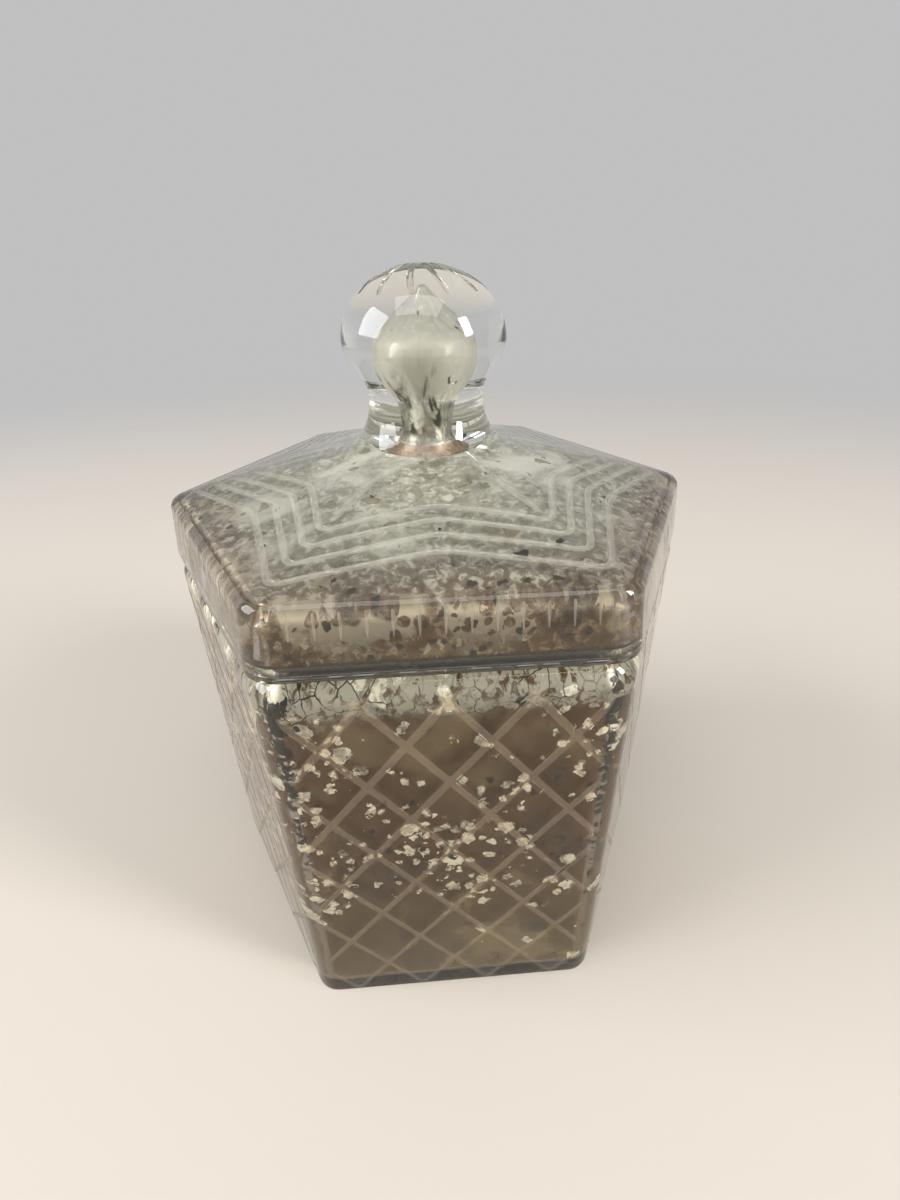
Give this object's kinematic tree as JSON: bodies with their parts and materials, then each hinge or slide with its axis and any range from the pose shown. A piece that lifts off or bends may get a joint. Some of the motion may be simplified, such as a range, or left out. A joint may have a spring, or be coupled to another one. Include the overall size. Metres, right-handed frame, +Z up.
{
  "type": "lidded glass canister",
  "caption": "Six-sided antiqued silvered-glass canister with a flat base, and a lift-off domed lid with a hollow round glass knob.",
  "frame": {"origin": "centre of the flat base, on the surface that the canister stands on", "axes": "+Z up through the knob, the broad front face towards -Y, +X to the right of that face"},
  "size_m": [0.1632, 0.1524, 0.2058],
  "materials": {
    "jar_glass": "thick clear glass with a grey-green cast, diamond cuts on the faces",
    "jar_silver": "antiqued silver coat, olive-brown haze with pale flecks, rings and bare spots",
    "lid_glass": "thick clear glass with chevron cuts on the dome and short upright cuts on the skirt",
    "lid_silver": "antiqued silver coat, pale and mottled on the dome, brown and spotted on the skirt",
    "knob_glass": "clear glass with fine cuts running down from the crown",
    "knob_silver": "very thin silver haze, bright in the waist"
  },
  "bodies": {
    "jar": {"jar_glass": "jar_glass", "jar_silver_coat": "jar_silver"},
    "lid": {"lid_glass": "lid_glass", "lid_silver_coat": "lid_silver", "knob_glass": "knob_glass", "knob_silver_coat": "knob_silver"}
  },
  "joints": [
    {"name": "lid_lift", "type": "slide", "parent": "jar", "child": "lid", "axis": [0, 0, 1], "range_m": [0, 0.1]}
  ]
}
